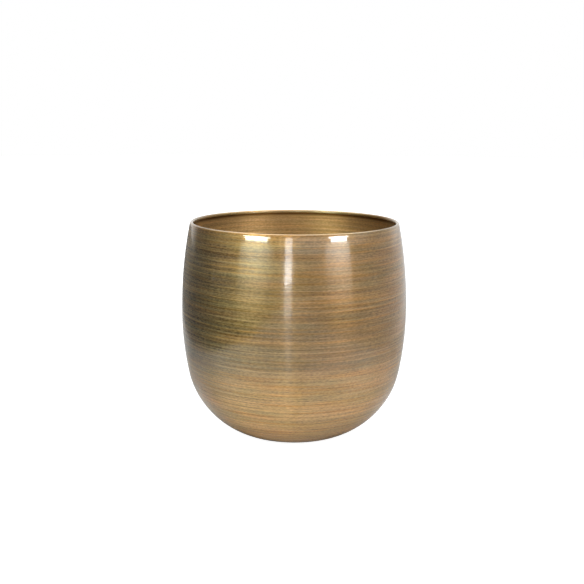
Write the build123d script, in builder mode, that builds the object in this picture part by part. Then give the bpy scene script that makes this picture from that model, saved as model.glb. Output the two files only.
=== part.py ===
"""Round brass cachepot: one spun sheet, its rim rolled inwards over a wire, on stick-on feet."""

import os
from math import acos, atan2, cos, degrees, radians, sin

from build123d import *

# Driving dimensions, in millimetres and degrees. The pot's axis is Z, and the feet stand on z = 0.

# The spun shell, with its heights taken from the flat ring under its base
sheet = 0.8
belly_diameter = 240.0
belly_height = 130.5
shell_height = 227.0
mouth_inset = 9.8  # how far the rim stands in from the belly, on each side
base_diameter = 92.0  # outer edge of the flat ring
heel_radius = 45.0
heel_angle = 26.0  # slope of the wall where the heel runs into the bowl
bowl_angle = 79.0  # slope of the wall where the bowl runs into the flank

# The raised panel in the middle of the base, which lets the pot stand on its ring alone
panel_depth = 1.5
panel_step_radius = 6.0

# The wired rim
wire_diameter = 1.8
wire_clearance = 0.1
curl_gap = 0.15  # the curl's cut edge stops this far short of the wall

# The stick-on feet
foot_count = 4
foot_first_angle = 45.0
foot_diameter = 14.0
foot_thickness = 1.8
foot_edge_radius = 0.5
foot_margin = 2.5  # flat left on the ring on each side of a foot
adhesive_thickness = 0.2
adhesive_inset = 0.5  # the foot reaches this far past its adhesive

# The base: a flat ring wide enough for the feet, and the panel that steps up inside it
belly_radius = belly_diameter / 2
base_radius = base_diameter / 2
base_level = foot_thickness + adhesive_thickness
ring_width = foot_diameter + 2 * foot_margin
panel_level = base_level + panel_depth
panel_step_angle = acos(1 - panel_depth / (2 * panel_step_radius))
panel_step_width = 2 * panel_step_radius * sin(panel_step_angle)
panel_radius = base_radius - ring_width - panel_step_width

# The bowl and the flank: two arcs that carry the wall from the end of the heel, at the heel's slope,
# to the belly, where it stands upright. Their radii share out the run and the rise between the two.
heel_slope = radians(heel_angle)
bowl_slope = radians(bowl_angle)
run = belly_radius - base_radius - heel_radius * sin(heel_slope)
rise = belly_height - heel_radius * (1 - cos(heel_slope))
bowl_run = sin(bowl_slope) - sin(heel_slope)
bowl_rise = cos(heel_slope) - cos(bowl_slope)
flank_run = 1 - sin(bowl_slope)
flank_rise = cos(bowl_slope)
share = bowl_run * flank_rise - bowl_rise * flank_run
bowl_radius = (run * flank_rise - rise * flank_run) / share
flank_radius = (rise * bowl_run - run * bowl_rise) / share

# The rim's bead: the sheet rolled round the wire until its edge nearly meets the wall again
bead_radius = wire_diameter / 2 + wire_clearance + sheet
bead_centre_radius = belly_radius - mouth_inset - bead_radius
bead_centre_height = base_level + shell_height - bead_radius
curl_turn = 360 - degrees(acos(1 - (sheet + curl_gap) / bead_radius))

# The shoulder: one arc, upright at the belly, that meets the bead without a corner
bead_run = belly_radius - bead_centre_radius
bead_rise = bead_centre_height - base_level - belly_height
shoulder_radius = (bead_run**2 + bead_rise**2 - bead_radius**2) / (2 * mouth_inset)
shoulder_angle = degrees(atan2(bead_rise, shoulder_radius - bead_run))

# The feet stand on the middle of the flat ring
foot_circle_radius = base_radius - ring_width / 2


def wall_line(depth):
    """Draws the wall at a depth into the sheet, from the axis to the curl's edge, and returns its ends."""
    panel = Line((0, panel_level + depth), (panel_radius, panel_level + depth))
    step_down = JernArc(panel @ 1, panel % 1, panel_step_radius + depth, -degrees(panel_step_angle))
    step_out = JernArc(step_down @ 1, step_down % 1, panel_step_radius - depth, degrees(panel_step_angle))
    ring = Line(step_out @ 1, (base_radius, base_level + depth))
    heel = JernArc(ring @ 1, ring % 1, heel_radius - depth, heel_angle)
    bowl = JernArc(heel @ 1, heel % 1, bowl_radius - depth, bowl_angle - heel_angle)
    flank = JernArc(bowl @ 1, bowl % 1, flank_radius - depth, 90 - bowl_angle)
    shoulder = JernArc(flank @ 1, flank % 1, shoulder_radius - depth, shoulder_angle)
    curl = JernArc(shoulder @ 1, shoulder % 1, bead_radius - depth, curl_turn)
    return panel @ 0, curl @ 1


# The shell is one sheet: the same smooth line outside and inside, closed at the axis and at the cut edge
with BuildPart() as pot_shell:
    with BuildSketch(Plane.XZ):
        with BuildLine():
            for outside, inside in zip(wall_line(0), wall_line(sheet)):
                Line(outside, inside)
        make_face()
    revolve(axis=Axis.Z)
pot_shell.part.label = "pot_shell"

# The wire ring that the rim is rolled over, which keeps the mouth round
with BuildPart() as rim_wire:
    with BuildSketch(Plane.XZ):
        with Locations((bead_centre_radius, bead_centre_height)):
            Circle(wire_diameter / 2)
    revolve(axis=Axis.Z)
rim_wire.part.label = "rim_wire"

pieces = [pot_shell.part, rim_wire.part]

# Each foot is a moulded disc with a rounded lower edge, and its own disc of adhesive holds it to the ring
for number, place in enumerate(PolarLocations(foot_circle_radius, foot_count, foot_first_angle), start=1):
    with BuildPart() as base_foot:
        with BuildSketch(Plane(place)):
            Circle(foot_diameter / 2)
        extrude(amount=foot_thickness)
        fillet(base_foot.faces().sort_by(Axis.Z)[0].edges(), foot_edge_radius)
    base_foot.part.label = f"base_foot_{number}"

    with BuildPart() as foot_adhesive:
        with BuildSketch(Plane(place).offset(foot_thickness)):
            Circle(foot_diameter / 2 - adhesive_inset)
        extrude(amount=adhesive_thickness)
    foot_adhesive.part.label = f"foot_adhesive_{number}"

    pieces += [base_foot.part, foot_adhesive.part]

os.makedirs("parts", exist_ok=True)
for piece in pieces:
    export_step(piece, f"parts/{piece.label}.step")
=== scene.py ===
"""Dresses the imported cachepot: its spun brass shell with the rolled rim, the feet under it, and a studio."""

import math

import bmesh
import bpy
from bpy.props import FloatProperty, FloatVectorProperty, IntProperty, PointerProperty
from mathutils import Matrix, Quaternion, Vector, noise


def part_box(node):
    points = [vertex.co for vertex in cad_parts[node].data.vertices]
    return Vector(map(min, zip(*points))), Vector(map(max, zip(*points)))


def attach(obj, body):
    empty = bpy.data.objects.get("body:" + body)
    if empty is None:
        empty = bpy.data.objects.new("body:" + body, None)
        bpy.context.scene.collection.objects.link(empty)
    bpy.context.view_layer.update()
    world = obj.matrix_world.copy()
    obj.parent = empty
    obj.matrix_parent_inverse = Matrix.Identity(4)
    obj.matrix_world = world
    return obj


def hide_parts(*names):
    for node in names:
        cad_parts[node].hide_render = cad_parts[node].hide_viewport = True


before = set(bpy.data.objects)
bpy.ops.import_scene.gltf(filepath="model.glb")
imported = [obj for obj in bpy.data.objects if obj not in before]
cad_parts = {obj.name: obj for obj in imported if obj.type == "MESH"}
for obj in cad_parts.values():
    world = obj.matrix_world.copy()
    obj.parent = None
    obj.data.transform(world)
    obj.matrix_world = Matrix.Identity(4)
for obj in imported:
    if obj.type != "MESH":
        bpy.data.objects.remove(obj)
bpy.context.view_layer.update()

bl_info = {
    "name": "Brass cachepot",
    "version": (1, 0, 0),
    "blender": (4, 5, 0),
    "location": "3D View > Sidebar > Cachepot",
    "description": "Dresses a spun brass cachepot around its packed model",
    "category": "Object",
}

BODY = "root"
MM = 0.001

# What the frame gives: the shell's box, the wire in its rim, and the feet
SHELL_LOW, SHELL_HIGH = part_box("pot_shell")
WIRE_LOW, WIRE_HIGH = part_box("rim_wire")
FOOT_NODES = sorted(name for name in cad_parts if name.startswith("base_foot"))
ADHESIVE_NODES = sorted(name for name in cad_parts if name.startswith("foot_adhesive"))

BELLY_RADIUS = SHELL_HIGH.x
BASE_LEVEL = SHELL_LOW.z
BEAD_CENTRE_HEIGHT = (WIRE_LOW.z + WIRE_HIGH.z) / 2
BEAD_CENTRE_RADIUS = WIRE_HIGH.x - (WIRE_HIGH.z - WIRE_LOW.z) / 2
BEAD_RADIUS = SHELL_HIGH.z - BEAD_CENTRE_HEIGHT

# The front of the rim, which the lights face, and the level ways to what stands in the studio
RIM_FRONT = Vector((0, -0.1, 0.222))
TOWARD_STRIP = (-0.108, -0.994, 0)
TOWARD_STAND = (0.122, -0.9925, 0)
TOWARD_RIGHT = (0.643, -0.766, 0)
TOWARD_BACK = (0.14, 0.99, 0)
SOFTBOX_DISTANCE = 1.15

# Steps through the noise that keep the streaks of the inside, and of each kind, apart
INSIDE_STEP = 40.0
KIND_STEP = 1000.0


def linear(hex_colour):
    """Turns an sRGB hex colour into the linear red, green and blue that shaders take."""
    channels = [int(hex_colour[i:i + 2], 16) / 255 for i in (1, 3, 5)]
    return tuple(c / 12.92 if c <= 0.04045 else ((c + 0.055) / 1.055) ** 2.4 for c in channels)


def length(name, description, default):
    """A size that a user may change, in metres."""
    return FloatProperty(name=name, description=description, default=default, unit="LENGTH", precision=5)


def angle(name, description, degrees):
    """An angle that a user may change."""
    return FloatProperty(name=name, description=description, default=math.radians(degrees), unit="ROTATION")


def share(name, description, default):
    """A share from nothing to all that a user may change."""
    return FloatProperty(name=name, description=description, default=default, min=0, max=1, subtype="FACTOR")


def amount(name, description, default):
    """A plain number that a user may change."""
    return FloatProperty(name=name, description=description, default=default, min=0)


def colour(name, description, hex_colour):
    """A colour that a user may change, given as sRGB hex."""
    return FloatVectorProperty(
        name=name, description=description, default=linear(hex_colour), min=0, max=1, subtype="COLOR"
    )


class ShellSettings(bpy.types.PropertyGroup):
    """Sizes of the spun shell that the frame's boxes don't give."""

    sheet: length("Sheet", "Thickness of the brass", 0.8 * MM)
    belly_height: length("Belly height", "From the base to the widest place", 130.5 * MM)
    base_radius: length("Base radius", "Outer edge of the flat ring under the base", 46 * MM)
    ring_width: length("Ring width", "Width of the flat ring under the base", 19 * MM)
    heel_radius: length("Heel radius", "Rounding from the base into the bowl", 45 * MM)
    heel_angle: angle("Heel angle", "Slope where the heel runs into the bowl", 26)
    bowl_angle: angle("Bowl angle", "Slope where the bowl runs into the flank", 79)
    panel_depth: length("Panel depth", "How far the middle of the base stands up", 1.5 * MM)
    panel_step_radius: length("Panel step", "Rounding of the panel's step", 6 * MM)
    curl_gap: length("Curl gap", "Room between the curl's cut edge and the wall", 0.15 * MM)
    point_spacing: length("Point spacing", "Distance between points along the wall", 1.6 * MM)
    sectors: IntProperty(name="Sectors", description="Equal sectors round the pot", default=8, min=3)
    sector_steps: IntProperty(name="Sector steps", description="Points round each sector", default=30, min=2)
    dent_depth: length("Dent depth", "How far the hand-finished wall leaves a true round", 0.16 * MM)
    dent_size: length("Dent size", "Width of those shallow dents", 45 * MM)


class BrassSettings(bpy.types.PropertyGroup):
    """Colours and finish of the brushed and lacquered brass."""

    belly: colour("Belly brass", "Antiqued brass of the belly and the shoulder", "#836742")
    # The left colours are partly a greener patina and partly painted light, lighter than the middle's
    belly_left_patina_and_light: colour("Left belly brass", "The same on the left, where the patina is greener", "#89744C")
    # Painted light: the right colours make the pot's right side lighter
    belly_right_painted_light: colour("Right belly brass", "The same at the right, where it was rubbed brighter", "#A98656")
    bowl: colour("Bowl brass", "Paler brass of the bowl, which was antiqued less", "#A78453")
    # Partly patina and partly painted light, as on the belly
    bowl_left_patina_and_light: colour("Left bowl brass", "The same on the left, where it is paler", "#B9945B")
    # Painted light, as on the belly
    bowl_right_painted_light: colour("Right bowl brass", "The same at the right, where it was rubbed brighter", "#BD965F")
    inner: colour("Inside brass", "Raw brass of the inside", "#C2A06F")
    bead: colour("Bead brass", "Polished brass of the rolled rim", "#AD9369")
    # Painted shade: the inside wall under the rolled rim is darkened where the bead shades it
    under_bead_painted_shade: colour("Undercut", "Patina left under the rolled rim", "#6A4A20")
    orange: colour("Orange tint", "Coppery streaks", "#FFEBC4")
    olive: colour("Olive tint", "Streaks where the antiquing took more", "#E8F3EE")
    bowl_height: length("Bowl height", "Where the antiqued belly begins", 91.5 * MM)
    rim_height: length("Rim height", "Where the antiqued belly ends", 214 * MM)
    feed: length("Feed", "Distance between the marks that the spinning tool leaves", 5.0 * MM)
    feed_depth: length("Feed depth", "Depth of those marks", 0.03 * MM)
    line_depth: length("Line depth", "Depth of the brush lines", 0.02 * MM)
    scratch_depth: length("Scratch depth", "Depth of the short scratches", 0.02 * MM)
    brush_depth: length("Brush depth", "Depth of the finest lines", 0.035 * MM)
    roughness: share("Roughness", "Roughness of the brushed brass", 0.55)
    anisotropy: share("Anisotropy", "How far the brush lines draw the gloss out", 0.905)
    lacquer: share("Lacquer", "Weight of the clear lacquer", 1.0)
    lacquer_roughness: share("Lacquer roughness", "Roughness of the clear lacquer", 0.06)
    lacquer_ior: amount("Lacquer IOR", "Index of refraction of the clear lacquer", 1.5)


class SmallPartSettings(bpy.types.PropertyGroup):
    """Colours and details of the feet, their adhesive and the wire."""

    rubber: colour("Rubber", "Moulded feet", "#2A2A29")
    dust: colour("Dust", "Dust on the feet", "#8C8880")
    adhesive: colour("Adhesive", "Film under each foot", "#D9D4C4")
    steel: colour("Steel", "Drawn wire in the rim", "#B9B9BA")
    foot_edge: length("Foot edge", "Rounding of a foot's lower edge", 0.5 * MM)
    adhesive_edge: length("Adhesive edge", "Rounding of the adhesive's edges", 0.05 * MM)


class StudioSettings(bpy.types.PropertyGroup):
    """The floor, the lights and the camera."""

    floor: colour("Floor", "Painted floor", "#C4C4C3")
    softbox_glow: amount("Softbox glow", "Radiance of the brightest panel of each softbox", 165.0)
    strip_glow: amount("Strip glow", "Radiance of the strip light beside the camera", 36.0)
    top_glow: amount("Top glow", "Radiance of the light above the camera", 0.4)
    left_glow: amount("Left glow", "Radiance of the room on the left", 0.15)
    ceiling_glow: amount("Ceiling glow", "Radiance of the ceiling beside and behind the pot", 4.4)
    right_glow: amount("Right glow", "Radiance of the room on the right", 0.75)
    left_tint: colour("Left tint", "Colour of the left softbox", "#F5FFF0")
    spread: angle("Spread", "Widest angle that the softboxes' grids let out", 64)
    feather: angle("Feather", "How far above the rim the softboxes point", 24)
    camera_distance: length("Camera distance", "From the pot's axis, level", 950 * MM)
    camera_height: length("Camera height", "Above the floor", 343.6 * MM)
    camera_pitch: angle("Camera pitch", "How far the camera looks down", 11.395)
    camera_yaw: angle("Camera yaw", "How far the camera is turned to its left", 0.14)
    camera_roll: angle("Camera roll", "How far the camera leans to its left", 0.329)
    lens: FloatProperty(
        name="Lens", description="Focal length on a 36 mm sensor", default=55.62, subtype="DISTANCE_CAMERA"
    )


class CachepotSettings(bpy.types.PropertyGroup):
    """Everything about the cachepot that a user may change."""

    shell: PointerProperty(type=ShellSettings)
    brass: PointerProperty(type=BrassSettings)
    small_parts: PointerProperty(type=SmallPartSettings)
    studio: PointerProperty(type=StudioSettings)


# Nodes and pieces


def add(tree, kind, inputs=None, **settings):
    """Adds a node with its settings. An input that is given a socket is linked, and any other is set."""
    made = tree.nodes.new(kind)
    for name, value in settings.items():
        setattr(made, name, value)
    for name, value in (inputs or {}).items():
        if isinstance(value, bpy.types.NodeSocket):
            tree.links.new(value, made.inputs[name])
        else:
            made.inputs[name].default_value = value
    return made


def new_material(name):
    """Returns an empty material with that name, and its node tree."""
    material = bpy.data.materials.new(name)
    material.use_nodes = True
    material.node_tree.nodes.clear()
    return material, material.node_tree


def opaque(rgb):
    """The colour with full alpha, as colour sockets take it."""
    return (*rgb, 1.0)


def place_piece(name, bm, material, slot, *nodes):
    """Makes a finished mesh into a piece that rides on the pot and stands for CAD nodes."""
    mesh = bpy.data.meshes.new(name)
    bm.to_mesh(mesh)
    bm.free()
    mesh.shade_smooth()
    mesh.set_sharp_from_angle(angle=math.radians(50))
    mesh.materials.append(material)
    piece = bpy.data.objects.new(name, mesh)
    bpy.context.scene.collection.objects.link(piece)
    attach(piece, BODY)
    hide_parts(*nodes)


# The spun shell


class SheetLine:
    """A line of the sheet's section in the XZ plane: a point that leaves the axis, runs on and turns."""

    def __init__(self, bm, height, spacing):
        self.bm = bm
        self.spacing = spacing
        self.tip = bm.verts.new((0, 0, height))
        self.heading = 0.0
        self.travelled = 0.0
        self.points = [(self.tip, self.travelled)]

    def go(self, distance, turn=0.0, least=1):
        """Runs the tip on by a distance, and turns it evenly to the left by an angle on the way."""
        steps = max(least, round(distance / self.spacing))
        forward = Vector((math.cos(self.heading), 0, math.sin(self.heading)))
        left = Vector((-forward.z, 0, forward.x))
        centre = self.tip.co + left * (distance / turn) if turn else self.tip.co
        step = Vector() if turn else forward * (distance / steps)
        known = set(self.bm.verts)
        made = bmesh.ops.spin(
            self.bm, geom=[self.tip], cent=centre, axis=(0, -1, 0), dvec=step, angle=turn, steps=steps,
            use_merge=False, use_duplicate=False,
        )
        fresh = [vert for vert in self.bm.verts if vert not in known]
        for step_number, vert in enumerate(fresh, start=1):
            self.points.append((vert, self.travelled + distance * step_number / steps))
        self.tip = next(item for item in made["geom_last"] if isinstance(item, bmesh.types.BMVert))
        self.heading += turn
        self.travelled += distance


def draw_wall(bm, shell, depth, spacing):
    """Draws the wall's line at a depth into the sheet, from the axis to the cut edge of the curl."""
    panel_level = BASE_LEVEL + shell.panel_depth
    step_angle = math.acos(1 - shell.panel_depth / (2 * shell.panel_step_radius))
    step_width = 2 * shell.panel_step_radius * math.sin(step_angle)
    panel_radius = shell.base_radius - shell.ring_width - step_width

    # The bowl and the flank share out the run and the rise from the heel to the belly
    run = BELLY_RADIUS - shell.base_radius - shell.heel_radius * math.sin(shell.heel_angle)
    rise = shell.belly_height - shell.heel_radius * (1 - math.cos(shell.heel_angle))
    bowl_turn = shell.bowl_angle - shell.heel_angle
    flank_turn = math.pi / 2 - shell.bowl_angle
    bowl_run = math.sin(shell.bowl_angle) - math.sin(shell.heel_angle)
    bowl_rise = math.cos(shell.heel_angle) - math.cos(shell.bowl_angle)
    flank_run = 1 - math.sin(shell.bowl_angle)
    flank_rise = math.cos(shell.bowl_angle)
    shared = bowl_run * flank_rise - bowl_rise * flank_run
    bowl_radius = (run * flank_rise - rise * flank_run) / shared
    flank_radius = (rise * bowl_run - run * bowl_rise) / shared

    # The shoulder is upright at the belly and meets the bead without a corner
    mouth_inset = BELLY_RADIUS - BEAD_CENTRE_RADIUS - BEAD_RADIUS
    bead_run = BELLY_RADIUS - BEAD_CENTRE_RADIUS
    bead_rise = BEAD_CENTRE_HEIGHT - BASE_LEVEL - shell.belly_height
    shoulder_radius = (bead_run**2 + bead_rise**2 - BEAD_RADIUS**2) / (2 * mouth_inset)
    shoulder_angle = math.atan2(bead_rise, shoulder_radius - bead_run)
    curl_turn = 2 * math.pi - math.acos(1 - (shell.sheet + shell.curl_gap) / BEAD_RADIUS)

    line = SheetLine(bm, panel_level + depth, spacing)
    line.go(panel_radius)
    line.go((shell.panel_step_radius + depth) * step_angle, -step_angle, least=5)
    line.go((shell.panel_step_radius - depth) * step_angle, step_angle, least=5)
    line.go(shell.ring_width)
    line.go((shell.heel_radius - depth) * shell.heel_angle, shell.heel_angle)
    line.go((bowl_radius - depth) * bowl_turn, bowl_turn)
    line.go((flank_radius - depth) * flank_turn, flank_turn)
    line.go((shoulder_radius - depth) * shoulder_angle, shoulder_angle)
    wall_length = line.travelled
    line.go((BEAD_RADIUS - depth) * curl_turn, curl_turn, least=26)
    return line, wall_length


def smooth_fade(value, start, end):
    """Goes smoothly from 0 at start to 1 at end."""
    part = min(max((value - start) / (end - start), 0.0), 1.0)
    return part * part * (3 - 2 * part)


def spin_shell(shell):
    """Spins the sheet's section into the whole shell, and leaves it as uneven as a hand-finished wall."""
    bm = bmesh.new()
    arc = bm.verts.layers.float.new("arc_length")
    inner = bm.verts.layers.float.new("inside")
    rim = bm.verts.layers.float.new("rim")
    outside, wall_length = draw_wall(bm, shell, 0.0, shell.point_spacing)
    inside, inside_length = draw_wall(bm, shell, shell.sheet, 2 * shell.point_spacing)
    bm.edges.new((outside.tip, inside.tip))

    # Outside, the rim is the bead. Inside, it is the strip of wall under the bead, which painted shade darkens
    for line, is_inner, start, end in (
        (outside, 0.0, wall_length + 0.6 * MM, wall_length + 2 * MM),
        (inside, 1.0, inside_length - 7 * MM, inside_length - 3 * MM),
    ):
        for vert, travelled in line.points:
            vert[arc] = travelled
            vert[inner] = is_inner
            vert[rim] = smooth_fade(travelled, start, end)

    # One sector is spun and then repeated, which is much quicker than a spin all the way round
    sector = 2 * math.pi / shell.sectors
    bmesh.ops.spin(
        bm, geom=bm.verts[:] + bm.edges[:], cent=(0, 0, 0), axis=(0, 0, 1), angle=sector,
        steps=shell.sector_steps, use_merge=False, use_duplicate=False,
    )
    bmesh.ops.spin(
        bm, geom=bm.verts[:] + bm.edges[:] + bm.faces[:], cent=(0, 0, 0), axis=(0, 0, 1),
        angle=2 * math.pi - sector, steps=shell.sectors - 1, use_merge=False, use_duplicate=True,
    )
    bmesh.ops.remove_doubles(bm, verts=bm.verts, dist=0.001 * MM)
    bmesh.ops.recalc_face_normals(bm, faces=bm.faces)

    # The wall leaves a true round a little, by as much inside as outside, and never past its own line
    bm.normal_update()
    moves = []
    for vert in bm.verts:
        outward = -vert.normal if vert[inner] > 0.5 else vert.normal
        dent = noise.noise(vert.co / shell.dent_size)
        below_rim = smooth_fade(wall_length - vert[arc], 12 * MM, 36 * MM)
        above_base = smooth_fade(vert.co.z, 8 * MM, 40 * MM)
        moves.append((vert, outward * (shell.dent_depth * (dent - 1) / 2 * below_rim * above_base)))
    for vert, move in moves:
        vert.co += move
    return bm


def lacquered_brass(brass):
    """Spun brass, brushed on the lathe, antiqued and lacquered.

    The brush lines run round the pot, so they draw each reflection out up and down the wall. The spinning
    tool leaves even marks between them. Antiquing makes some streaks greyer and some more coppery, and the
    clear lacquer adds pale, sharper reflections of the lights.
    """
    material, tree = new_material("Brushed antique brass, lacquered")
    position = add(tree, "ShaderNodeTexCoord").outputs["Object"]
    level = add(tree, "ShaderNodeVectorMath", {0: position, 1: (1, 1, 0)}, operation="MULTIPLY").outputs[0]
    around = add(tree, "ShaderNodeVectorMath", {0: level}, operation="NORMALIZE").outputs[0]
    arc = add(tree, "ShaderNodeAttribute", attribute_name="arc_length").outputs["Fac"]
    inside = add(tree, "ShaderNodeAttribute", attribute_name="inside").outputs["Fac"]
    rim = add(tree, "ShaderNodeAttribute", attribute_name="rim").outputs["Fac"]

    def total(start, *parts):
        """The start plus each value times its weight."""
        for value, weight in parts:
            start = add(
                tree, "ShaderNodeMath", {0: value, 1: weight, 2: start}, operation="MULTIPLY_ADD"
            ).outputs[0]
        return start

    def streaks(spacing, streak, detail=2.0, low=0.3, high=0.7):
        """Streaks a spacing apart up the wall and about a streak long round the belly, from 0 to 1."""
        reach = BELLY_RADIUS / streak
        up = total(KIND_STEP * spacing, (inside, INSIDE_STEP), (arc, 1 / spacing))
        height = add(tree, "ShaderNodeCombineXYZ", {"Z": up}).outputs[0]
        place = add(
            tree, "ShaderNodeVectorMath", {0: around, 1: (reach, reach, 0), 2: height},
            operation="MULTIPLY_ADD",
        ).outputs[0]
        lines = add(tree, "ShaderNodeTexNoise", {"Vector": place, "Scale": 1.0, "Detail": detail})
        return add(
            tree, "ShaderNodeMapRange", {"Value": lines.outputs[0], "From Min": low, "From Max": high}
        ).outputs[0]

    # The brush lines are 0.2 to 0.4 mm apart. Only the gloss shows them so fine: the others are drawn coarser
    brush = streaks(0.35 * MM, 6 * MM, detail=1.0, low=0.53, high=0.8)
    scratches = streaks(1.2 * MM, 9 * MM, detail=1.0, low=0.5, high=0.75)
    fine = streaks(0.9 * MM, 70 * MM, detail=1.0, low=0.4, high=0.8)
    lines = streaks(2.2 * MM, 200 * MM)
    bands = streaks(9 * MM, 240 * MM)
    warmth = streaks(2.5 * MM, 90 * MM, low=0.42, high=0.66)
    dulling = streaks(12 * MM, 60 * MM, detail=4.0, low=0.35, high=0.65)
    speckle = streaks(1.0 * MM, 3.2 * MM, detail=1.0)

    # The tool leaves narrow grooves, which wander a little and come and go
    turn = total(bands, (arc, 2 * math.pi / brass.feed))
    wave = add(tree, "ShaderNodeMath", {0: turn}, operation="SINE").outputs[0]
    crest = total(0.5, (wave, 0.5))
    narrow = add(tree, "ShaderNodeMath", {0: crest, 1: 6.0}, operation="POWER").outputs[0]
    grooves = add(tree, "ShaderNodeMath", {0: narrow, 1: lines}, operation="MULTIPLY").outputs[0]

    # The antiquing stops at an uneven edge above the bowl, and was wiped away under the rim, most on the left
    height = add(tree, "ShaderNodeSeparateXYZ", {0: position}).outputs["Z"]
    across = add(tree, "ShaderNodeSeparateXYZ", {0: around}).outputs["X"]
    edge = total(height, (bands, 10 * MM), (lines, 4 * MM), (across, -5 * MM))
    antiqued = add(
        tree, "ShaderNodeMapRange",
        {"Value": edge, "From Min": brass.bowl_height - 4 * MM, "From Max": brass.bowl_height + 18 * MM},
        interpolation_type="SMOOTHSTEP",
    ).outputs[0]
    most = add(
        tree, "ShaderNodeMapRange",
        {"Value": across, "From Min": -0.06, "From Max": 0.06, "To Min": 0.6, "To Max": 0.15},
    ).outputs[0]
    wiped = add(
        tree, "ShaderNodeMapRange",
        {"Value": edge, "From Min": brass.rim_height, "From Max": brass.rim_height + 16 * MM, "To Max": most},
        interpolation_type="SMOOTHSTEP",
    ).outputs[0]
    kept = add(tree, "ShaderNodeMath", {0: 1.0, 1: wiped}, operation="SUBTRACT").outputs[0]
    patina = add(tree, "ShaderNodeMath", {0: antiqued, 1: kept}, operation="MULTIPLY").outputs[0]

    def layers(base, *coats):
        """The base with each coat's colour laid over it by the coat's cover, from 0 to 1."""
        for cover, tint in coats:
            base = add(tree, "ShaderNodeMix", {0: cover, 6: base, 7: tint}, data_type="RGBA").outputs[2]
        return base

    # The brass is greener and lighter on the pot's left, partly patina and partly painted light, and painted
    # lighter at its right
    side = add(tree, "ShaderNodeMapRange", {"Value": across, "From Min": -0.6, "From Max": 0.3}).outputs[0]
    painted_light_right = add(tree, "ShaderNodeMapRange", {"Value": across, "From Min": 0.52, "From Max": 0.92}).outputs[0]
    belly = layers(
        opaque(brass.belly_left_patina_and_light), (side, opaque(brass.belly)), (painted_light_right, opaque(brass.belly_right_painted_light))
    )
    bowl = layers(opaque(brass.bowl_left_patina_and_light), (side, opaque(brass.bowl)), (painted_light_right, opaque(brass.bowl_right_painted_light)))
    # Painted shade darkens the inside wall under the bead
    raw = layers(opaque(brass.inner), (rim, opaque(brass.under_bead_painted_shade)))
    shaded = layers(bowl, (patina, belly), (rim, opaque(brass.bead)), (inside, raw))

    # The patina lies heavier on the left, so the lines stand out more there, and the polished bead has none
    left = add(
        tree, "ShaderNodeMapRange",
        {"Value": across, "From Min": -0.2, "From Max": -0.9, "To Min": 0.1, "To Max": 0.75},
    ).outputs[0]
    smooth = add(
        tree, "ShaderNodeMath", {0: inside, 1: 0.4, 2: rim}, operation="MULTIPLY_ADD", use_clamp=True
    ).outputs[0]
    plain = total(0.92, (patina, left))
    contrast = add(tree, "ShaderNodeMix", {0: smooth, 2: plain, 3: 0.0}).outputs[0]

    # The tool marks are worn bright where the brass is antiqued or raw, and dark on the bowl
    worn = add(tree, "ShaderNodeMath", {0: patina, 1: inside}, operation="MAXIMUM").outputs[0]
    marks = add(tree, "ShaderNodeMapRange", {"Value": worn, "To Min": -0.45, "To Max": 0.4}).outputs[0]
    streaked = total(-0.58, (fine, 0.6), (lines, 0.22), (bands, 0.16), (speckle, 0.5), (grooves, marks))
    tone = total(1.0, (streaked, contrast))

    # The tints are fainter on the raw inside
    calm = total(1.0, (inside, -0.7))
    warmth = add(tree, "ShaderNodeMath", {0: warmth, 1: calm}, operation="MULTIPLY").outputs[0]
    dulling = add(tree, "ShaderNodeMath", {0: dulling, 1: calm}, operation="MULTIPLY").outputs[0]
    for share_of, tint in ((dulling, opaque(brass.olive)), (warmth, opaque(brass.orange)), (1.0, tone)):
        shaded = add(
            tree, "ShaderNodeMix", {0: share_of, 6: shaded, 7: tint}, data_type="RGBA", blend_type="MULTIPLY"
        ).outputs[2]

    rough = total(brass.roughness - 0.04, (fine, 0.08), (inside, 0.15))
    relief = total(
        0.0, (grooves, -brass.feed_depth), (lines, brass.line_depth), (scratches, brass.scratch_depth),
        (brush, brass.brush_depth),
    )
    brushed = add(tree, "ShaderNodeBump", {"Strength": 1.0, "Distance": 1.0, "Height": relief}).outputs[0]

    # The lacquer gathers under the rim, where it is thicker and smoother
    open_film = add(
        tree, "ShaderNodeMapRange",
        {
            "Value": height, "From Min": brass.rim_height - 8 * MM, "From Max": brass.rim_height,
            "To Min": 1.0, "To Max": 0.1,
        },
    ).outputs[0]
    film = total(
        0.0, (grooves, -brass.feed_depth), (scratches, 0.3 * brass.scratch_depth),
        (brush, 0.4 * brass.brush_depth),
    )
    film = add(tree, "ShaderNodeMath", {0: film, 1: open_film}, operation="MULTIPLY").outputs[0]
    covered = add(tree, "ShaderNodeBump", {"Strength": 1.0, "Distance": 1.0, "Height": film}).outputs[0]
    tangent = add(tree, "ShaderNodeTangent", direction_type="RADIAL", axis="Z").outputs[0]
    surface = add(
        tree, "ShaderNodeBsdfPrincipled",
        {
            "Base Color": shaded, "Metallic": 1.0, "Roughness": rough, "Normal": brushed,
            "Anisotropic": brass.anisotropy, "Anisotropic Rotation": 0.25, "Tangent": tangent,
            "Coat Weight": brass.lacquer, "Coat Roughness": brass.lacquer_roughness, "Coat Normal": covered,
            "Coat IOR": brass.lacquer_ior,
        },
    )
    add(tree, "ShaderNodeOutputMaterial", {"Surface": surface.outputs[0]})
    return material


# The small parts


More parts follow.
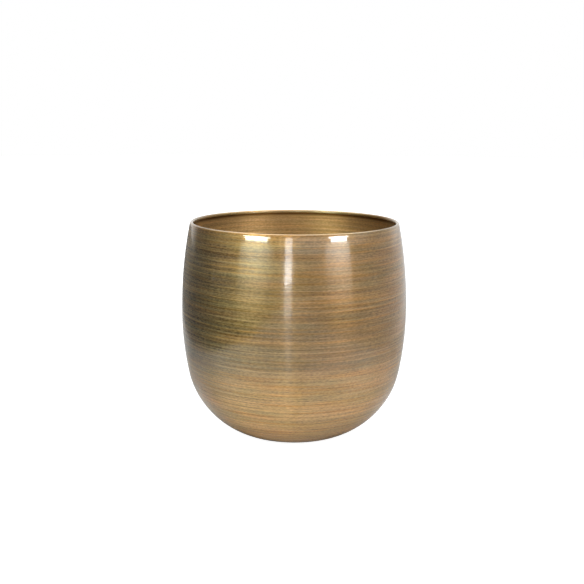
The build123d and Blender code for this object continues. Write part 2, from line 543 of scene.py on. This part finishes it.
def drawn_steel(parts):
    """Drawn steel wire: bright and smooth, with a faint grain."""
    material, tree = new_material("Drawn steel wire")
    position = add(tree, "ShaderNodeTexCoord").outputs["Object"]
    grain = add(
        tree, "ShaderNodeTexNoise", {"Vector": position, "Scale": 1 / (0.4 * MM), "Detail": 2.0}
    ).outputs[0]
    rough = add(tree, "ShaderNodeMapRange", {"Value": grain, "To Min": 0.2, "To Max": 0.4}).outputs[0]
    relief = add(tree, "ShaderNodeBump", {"Strength": 0.4, "Distance": 0.01 * MM, "Height": grain}).outputs[0]
    surface = add(
        tree, "ShaderNodeBsdfPrincipled",
        {"Base Color": opaque(parts.steel), "Metallic": 1.0, "Roughness": rough, "Normal": relief},
    )
    add(tree, "ShaderNodeOutputMaterial", {"Surface": surface.outputs[0]})
    return material


def moulded_rubber(parts):
    """Moulded rubber: black and matt, with a fine spark-eroded grain and a little dust in it."""
    material, tree = new_material("Moulded rubber")
    position = add(tree, "ShaderNodeTexCoord").outputs["Object"]
    grain = add(
        tree, "ShaderNodeTexNoise", {"Vector": position, "Scale": 1 / (0.35 * MM), "Detail": 3.0}
    ).outputs[0]
    dust = add(
        tree, "ShaderNodeTexNoise", {"Vector": position, "Scale": 1 / (2.5 * MM), "Detail": 4.0}
    ).outputs[0]
    dusty = add(
        tree, "ShaderNodeMapRange", {"Value": dust, "From Min": 0.5, "From Max": 0.8, "To Max": 0.16}
    ).outputs[0]
    tint = add(
        tree, "ShaderNodeMix", {0: dusty, 6: opaque(parts.rubber), 7: opaque(parts.dust)}, data_type="RGBA"
    ).outputs[2]
    rough = add(tree, "ShaderNodeMapRange", {"Value": grain, "To Min": 0.6, "To Max": 0.85}).outputs[0]
    relief = add(tree, "ShaderNodeBump", {"Strength": 0.7, "Distance": 0.03 * MM, "Height": grain}).outputs[0]
    surface = add(
        tree, "ShaderNodeBsdfPrincipled",
        {"Base Color": tint, "Roughness": rough, "Normal": relief, "IOR": 1.52},
    )
    add(tree, "ShaderNodeOutputMaterial", {"Surface": surface.outputs[0]})
    return material


def adhesive_film(parts):
    """Acrylic foam film: off-white, satin, with small bubbles pressed into it."""
    material, tree = new_material("Acrylic adhesive film")
    position = add(tree, "ShaderNodeTexCoord").outputs["Object"]
    cells = add(
        tree, "ShaderNodeTexVoronoi", {"Vector": position, "Scale": 1 / (0.3 * MM)}
    ).outputs["Distance"]
    shade = add(tree, "ShaderNodeMapRange", {"Value": cells, "To Min": 1.0, "To Max": 0.8}).outputs[0]
    tint = add(
        tree, "ShaderNodeMix", {0: 1.0, 6: opaque(parts.adhesive), 7: shade},
        data_type="RGBA", blend_type="MULTIPLY",
    ).outputs[2]
    surface = add(tree, "ShaderNodeBsdfPrincipled", {"Base Color": tint, "Roughness": 0.5, "IOR": 1.47})
    add(tree, "ShaderNodeOutputMaterial", {"Surface": surface.outputs[0]})
    return material


def disc(node, edge, both_edges):
    """A round disc that fills a CAD node's box, with its lower edge rounded, or both edges."""
    low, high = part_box(node)
    centre = (low + high) / 2
    radius = (high.x - low.x) / 2
    bm = bmesh.new()
    bmesh.ops.create_cone(
        bm, cap_ends=True, segments=72, radius1=radius, radius2=radius, depth=high.z - low.z,
        matrix=Matrix.Translation(centre),
    )
    rims = [e for e in bm.edges if abs(e.verts[0].co.z - e.verts[1].co.z) < 0.001 * MM]
    rounded = [e for e in rims if both_edges or e.verts[0].co.z < centre.z]
    bmesh.ops.bevel(bm, geom=rounded, offset=edge, segments=6, profile=0.5, affect="EDGES", material=-1)
    caps = [face for face in bm.faces if len(face.verts) > 4]
    bmesh.ops.inset_region(bm, faces=caps, thickness=radius / 8, use_even_offset=True)
    return bm


# The studio


def white_board(studio):
    """Painted board: white and matt, and glowing so that the camera hardly sees a shadow on it. Reflections
    show painted light and shade on it.
    """
    material, tree = new_material("Painted board")
    position = add(tree, "ShaderNodeTexCoord").outputs["Object"]
    behind = add(tree, "ShaderNodeSeparateXYZ", {0: position}).outputs["Y"]
    # Painted shade: the board is darker behind the pot
    shade = add(
        tree, "ShaderNodeMapRange", {"Value": behind, "From Min": 0.12, "From Max": -0.05, "To Min": 0.45}
    ).outputs[0]
    tint = add(
        tree, "ShaderNodeMix", {0: 1.0, 6: opaque(studio.floor), 7: shade},
        data_type="RGBA", blend_type="MULTIPLY",
    ).outputs[2]
    paint = add(tree, "ShaderNodeBsdfDiffuse", {"Color": tint}).outputs[0]
    # Painted light: in reflections the board glows, most near the pot's front
    near = add(
        tree, "ShaderNodeMapRange",
        {"Value": behind, "From Min": -0.5, "From Max": -0.22, "To Min": 0.1, "To Max": 0.7},
    ).outputs[0]

    # A painted patch of the strip light on the board, which carries its reflection on down the belly
    outward = add(
        tree, "ShaderNodeVectorMath", {0: position, 1: (0, -RIM_FRONT.y, 0)}, operation="ADD"
    ).outputs[0]
    heading = add(tree, "ShaderNodeVectorMath", {0: outward}, operation="NORMALIZE").outputs[0]
    strip = add(tree, "ShaderNodeVectorMath", {0: heading, 1: TOWARD_STRIP}, operation="DOT_PRODUCT")
    far = add(
        tree, "ShaderNodeMapRange", {"Value": behind, "From Min": -0.22, "From Max": -0.42, "To Max": 1.2}
    ).outputs[0]
    lit = add(
        tree, "ShaderNodeMapRange",
        {"Value": strip.outputs["Value"], "From Min": 0.9965, "From Max": 0.9992, "To Max": far},
    ).outputs[0]
    near = add(tree, "ShaderNodeMath", {0: near, 1: lit}, operation="ADD").outputs[0]

    # A painted shadow of the camera's stand dims the board's glow
    stand = add(tree, "ShaderNodeVectorMath", {0: heading, 1: TOWARD_STAND}, operation="DOT_PRODUCT")
    clear = add(
        tree, "ShaderNodeMapRange",
        {"Value": stand.outputs["Value"], "From Min": 0.999, "From Max": 0.98, "To Min": 0.5, "To Max": 1.0},
    ).outputs[0]
    near = add(tree, "ShaderNodeMath", {0: near, 1: clear}, operation="MULTIPLY").outputs[0]
    glow = add(
        tree, "ShaderNodeMapRange", {"Value": behind, "From Min": -0.05, "From Max": -0.13, "To Max": near}
    ).outputs[0]
    seen = add(tree, "ShaderNodeLightPath").outputs["Is Camera Ray"]
    fill = add(tree, "ShaderNodeMix", {0: seen, 2: glow, 3: 0.97}).outputs[0]
    glare = add(tree, "ShaderNodeEmission", {"Strength": fill}).outputs[0]
    both = add(tree, "ShaderNodeAddShader", {0: paint, 1: glare}).outputs[0]
    add(tree, "ShaderNodeOutputMaterial", {"Surface": both})
    return material


def dim_carpet(studio):
    """Carpet round the board: a glowing sheet that only shows in the brass, darker on the left than on the
    right.
    """
    material, tree = new_material("Studio carpet")
    position = add(tree, "ShaderNodeTexCoord").outputs["Object"]
    across = add(tree, "ShaderNodeSeparateXYZ", {0: position}).outputs["X"]
    glow = add(
        tree, "ShaderNodeMapRange",
        {
            "Value": across, "From Min": -0.5, "From Max": 0.5,
            "To Min": studio.left_glow, "To Max": studio.right_glow,
        },
    ).outputs[0]
    surface = add(tree, "ShaderNodeEmission", {"Strength": glow}).outputs[0]
    add(tree, "ShaderNodeOutputMaterial", {"Surface": surface})
    return material


def stage_piece(name, bm, material):
    """Makes a finished mesh into a piece of the stage."""
    mesh = bpy.data.meshes.new(name)
    bm.to_mesh(mesh)
    bm.free()
    mesh.materials.append(material)
    piece = bpy.data.objects.new(name, mesh)
    bpy.context.scene.collection.objects.link(piece)
    return piece


def lay_carpet(studio):
    """Lays the carpet on both sides of the board, where only reflections show it."""
    bm = bmesh.new()
    far = 4.0
    board_left, board_right = -0.37, 0.4
    for left, right in ((-far, board_left), (board_right, far)):
        size = Matrix.Diagonal(((right - left) / 2, far, 1, 1))
        spot = Matrix.Translation(((left + right) / 2, 0, 3 * MM))
        bmesh.ops.create_grid(bm, x_segments=1, y_segments=1, size=1, matrix=spot @ size)
    carpet = stage_piece("carpet", bm, dim_carpet(studio))
    carpet.visible_camera = False
    carpet.visible_diffuse = False
    carpet.visible_shadow = False


def area_light(
    name, glow, azimuth, elevation, distance, width, height,
    feather=0.0, lean=0.0, spread=math.pi, tint=(1, 1, 1),
):
    """A flat light at an azimuth from the camera and an elevation, as the front of the rim sees it.

    It faces that place or, feathered, an angle above it, and leans to the left as seen from there. A spread
    below half a turn is that of a grid on the light.
    """
    lamp = bpy.data.lights.new(name, "AREA")
    lamp.shape = "RECTANGLE"
    lamp.size, lamp.size_y = width, height
    lamp.spread = spread
    lamp.color = tint
    lamp.energy = glow * math.pi * width * height * (1 - spread / 2 / math.tan(spread / 2))
    level = math.cos(elevation)
    back = Vector((math.sin(azimuth) * level, -math.cos(azimuth) * level, math.sin(elevation)))
    light = bpy.data.objects.new(name, lamp)
    light.location = RIM_FRONT + back * distance
    turned = back.to_track_quat("Z", "Y") @ Quaternion((1, 0, 0), feather) @ Quaternion((0, 0, 1), lean)
    light.rotation_euler = turned.to_euler()
    light.visible_camera = False
    bpy.context.scene.collection.objects.link(light)


def softbox(side, studio, azimuth, bottom, width, lean, tint):
    """A softbox behind a grid: a bright top that narrows downwards, over panels that fade out downwards."""
    rad = math.radians
    panels = [
        (azimuth, bottom + rad(0.8), rad(1.6), 0.88 * width, studio.softbox_glow),
        (azimuth, bottom + rad(2.7), rad(2.2), 1.1 * width, studio.softbox_glow),
    ]
    # The fading panels stand a little nearer to the camera, and their widths differ so that the sides are soft
    fade_rise, first_fade, next_fade = rad(5), 0.12, 0.6
    for step in range(4):
        middle = bottom - fade_rise * (step + 0.5)
        glow = studio.softbox_glow * first_fade * next_fade**step
        for stretch in (0.7, 1.05, 1.4):
            panels.append((0.95 * azimuth, middle, fade_rise, stretch * width, glow))
    for number, (turn, elevation, rise, breadth, glow) in enumerate(panels, start=1):
        height = SOFTBOX_DISTANCE * rise / math.cos(studio.feather)
        area_light(
            f"{side}_softbox_{number}", glow, turn, elevation, SOFTBOX_DISTANCE, breadth, height,
            studio.feather, lean, studio.spread, tint,
        )


def strip_light(studio):
    """A tall, narrow light beside the camera, brightest in its middle."""
    rad = math.radians
    distance, width = 1.0, 0.13
    # The elevations of each stretch's two ends in degrees, and its share of the glow
    stretches = ((-12, -1.5, 0.22), (-1.5, 9, 1.0), (9, 17, 0.5))
    for number, (low, high, part) in enumerate(stretches, start=1):
        middle, height = rad(low + high) / 2, distance * rad(high - low)
        area_light(
            f"strip_light_{number}", part * studio.strip_glow, rad(-6.2), middle, distance, width, height,
            0.75 * studio.feather, 0.0, studio.spread,
        )


def light_pot(studio):
    """Stands the lights round the front of the rim."""
    rad = math.radians
    softbox("left", studio, rad(-42), bottom=rad(12.5), width=0.575, lean=rad(3.6), tint=studio.left_tint)
    softbox("right", studio, rad(49), bottom=rad(11.75), width=0.405, lean=rad(-5), tint=(1, 1, 1))
    strip_light(studio)
    area_light("top_light", studio.top_glow, 0, rad(60), distance=1.5, width=1.4, height=1.0)


def surroundings(studio):
    """A plain room that only reflections show: dim on the left, pale on the right, behind and above."""
    world = bpy.data.worlds.new("Studio")
    world.use_nodes = True
    tree = world.node_tree
    tree.nodes.clear()
    direction = add(tree, "ShaderNodeTexCoord").outputs["Generated"]
    axes = add(tree, "ShaderNodeSeparateXYZ", {0: direction}).outputs
    right, stand, back = (
        add(tree, "ShaderNodeVectorMath", {0: direction, 1: way}, operation="DOT_PRODUCT").outputs["Value"]
        for way in (TOWARD_RIGHT, TOWARD_STAND, TOWARD_BACK)
    )
    sideways = add(
        tree, "ShaderNodeMapRange",
        {
            "Value": right, "From Min": -0.77, "From Max": 0.2,
            "To Min": studio.left_glow, "To Max": studio.right_glow,
        },
    ).outputs[0]

    # The camera's stand and what is beside it make a darker place
    front = add(
        tree, "ShaderNodeMapRange",
        {"Value": stand, "From Min": 1.0, "From Max": 0.94, "To Min": 0.66, "To Max": 1.0},
    ).outputs[0]
    sideways = add(tree, "ShaderNodeMath", {0: sideways, 1: front}, operation="MULTIPLY").outputs[0]

    # A reflector on the right, level with the softboxes, greys the brass under the rim
    reflector = add(
        tree, "ShaderNodeMapRange", {"Value": right, "From Min": 0.5, "From Max": 0.75, "To Max": 1.4}
    ).outputs[0]
    for low, high in ((0.13, 0.19), (0.36, 0.28)):
        reflector = add(
            tree, "ShaderNodeMapRange",
            {"Value": axes["Z"], "From Min": low, "From Max": high, "To Max": reflector},
        ).outputs[0]
    sideways = add(tree, "ShaderNodeMath", {0: sideways, 1: reflector}, operation="ADD").outputs[0]

    # The wall behind the pot and the ceiling are bright
    behind = add(tree, "ShaderNodeMapRange", {"Value": back, "From Min": 0.42, "From Max": 0.72}).outputs[0]
    sides = add(
        tree, "ShaderNodeMapRange",
        {"Value": axes["Y"], "From Min": -0.5, "From Max": 0, "To Min": 0.5, "To Max": studio.ceiling_glow},
    ).outputs[0]
    ceiling = add(
        tree, "ShaderNodeMapRange",
        {"Value": axes["Z"], "From Min": 0.45, "From Max": 0.85, "To Max": sides},
    ).outputs[0]
    lit = add(tree, "ShaderNodeMath", {0: behind, 1: ceiling}, operation="MAXIMUM").outputs[0]
    glow = add(tree, "ShaderNodeMath", {0: sideways, 1: lit}, operation="MAXIMUM").outputs[0]
    seen = add(tree, "ShaderNodeLightPath").outputs["Is Camera Ray"]
    strength = add(tree, "ShaderNodeMix", {0: seen, 2: glow, 3: 1.0}).outputs[0]
    white = opaque(linear("#FFFFFF"))
    backdrop = add(tree, "ShaderNodeBackground", {"Color": white, "Strength": strength})
    add(tree, "ShaderNodeOutputWorld", {"Surface": backdrop.outputs[0]})
    return world


def set_camera(scene, studio):
    """Stands the camera where the photograph was taken from."""
    lens = bpy.data.cameras.new("camera")
    lens.sensor_width = 36
    lens.lens = studio.lens
    camera = bpy.data.objects.new("camera", lens)
    turn = (
        Matrix.Rotation(studio.camera_yaw, 4, "Z")
        @ Matrix.Rotation(math.pi / 2 - studio.camera_pitch, 4, "X")
        @ Matrix.Rotation(studio.camera_roll, 4, "Z")
    )
    camera.matrix_world = Matrix.Translation((0, -studio.camera_distance, studio.camera_height)) @ turn
    scene.collection.objects.link(camera)
    scene.camera = camera


# Operators


class CACHEPOT_OT_shell(bpy.types.Operator):
    """Spin the brass shell with its rolled rim"""

    bl_idname = "cachepot.shell"
    bl_label = "Spun shell"

    def execute(self, context):
        settings = context.scene.cachepot
        material = lacquered_brass(settings.brass)
        place_piece("spun_shell", spin_shell(settings.shell), material, "lacquered_brass", "pot_shell")
        return {"FINISHED"}


class CACHEPOT_OT_rim_wire(bpy.types.Operator):
    """Finish the wire that the rim is rolled over"""

    bl_idname = "cachepot.rim_wire"
    bl_label = "Rim wire"

    def execute(self, context):
        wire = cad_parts["rim_wire"]
        wire.data.materials.clear()
        wire.data.materials.append(drawn_steel(context.scene.cachepot.small_parts))
        return {"FINISHED"}


class CACHEPOT_OT_feet(bpy.types.Operator):
    """Mould the stick-on feet and cut the adhesive that holds them"""

    bl_idname = "cachepot.feet"
    bl_label = "Feet"

    def execute(self, context):
        parts = context.scene.cachepot.small_parts
        rubber = moulded_rubber(parts)
        film = adhesive_film(parts)
        for number, node in enumerate(FOOT_NODES, start=1):
            pad = disc(node, parts.foot_edge, False)
            place_piece(f"stick_on_foot_{number}", pad, rubber, "foot_rubber", node)
        for number, node in enumerate(ADHESIVE_NODES, start=1):
            pad = disc(node, parts.adhesive_edge, True)
            place_piece(f"adhesive_film_{number}", pad, film, "foot_adhesive", node)
        return {"FINISHED"}


class CACHEPOT_OT_studio(bpy.types.Operator):
    """Set up the floor, the lights, the surroundings and the camera"""

    bl_idname = "cachepot.studio"
    bl_label = "Studio"

    def execute(self, context):
        scene = context.scene
        studio = scene.cachepot.studio
        scene.view_settings.view_transform = "Standard"

        bm = bmesh.new()
        bmesh.ops.create_circle(bm, cap_ends=True, segments=96, radius=6.0)
        stage_piece("floor", bm, white_board(studio))
        lay_carpet(studio)
        light_pot(studio)
        scene.world = surroundings(studio)
        set_camera(scene, studio)
        return {"FINISHED"}


class CACHEPOT_PT_panel(bpy.types.Panel):
    """Lists the pieces of the cachepot and what can be changed about them"""

    bl_idname = "CACHEPOT_PT_panel"
    bl_label = "Cachepot"
    bl_space_type = "VIEW_3D"
    bl_region_type = "UI"
    bl_category = "Cachepot"

    def draw(self, context):
        settings = context.scene.cachepot
        for operator in OPERATORS:
            self.layout.operator(operator.bl_idname)
        for group in (settings.shell, settings.brass, settings.small_parts, settings.studio):
            box = self.layout.box()
            for name in group.bl_rna.properties.keys():
                if name not in ("rna_type", "name"):
                    box.prop(group, name)


SETTINGS = (ShellSettings, BrassSettings, SmallPartSettings, StudioSettings, CachepotSettings)
OPERATORS = (CACHEPOT_OT_shell, CACHEPOT_OT_rim_wire, CACHEPOT_OT_feet, CACHEPOT_OT_studio)
CLASSES = (*SETTINGS, *OPERATORS, CACHEPOT_PT_panel)


def register():
    for cls in CLASSES:
        bpy.utils.register_class(cls)
    bpy.types.Scene.cachepot = PointerProperty(type=CachepotSettings)


def unregister():
    del bpy.types.Scene.cachepot
    for cls in reversed(CLASSES):
        bpy.utils.unregister_class(cls)


def main():
    """Builds every piece and the studio in order."""
    register()
    bpy.ops.cachepot.shell()
    bpy.ops.cachepot.rim_wire()
    bpy.ops.cachepot.feet()
    bpy.ops.cachepot.studio()


if __name__ == "__main__":
    main()
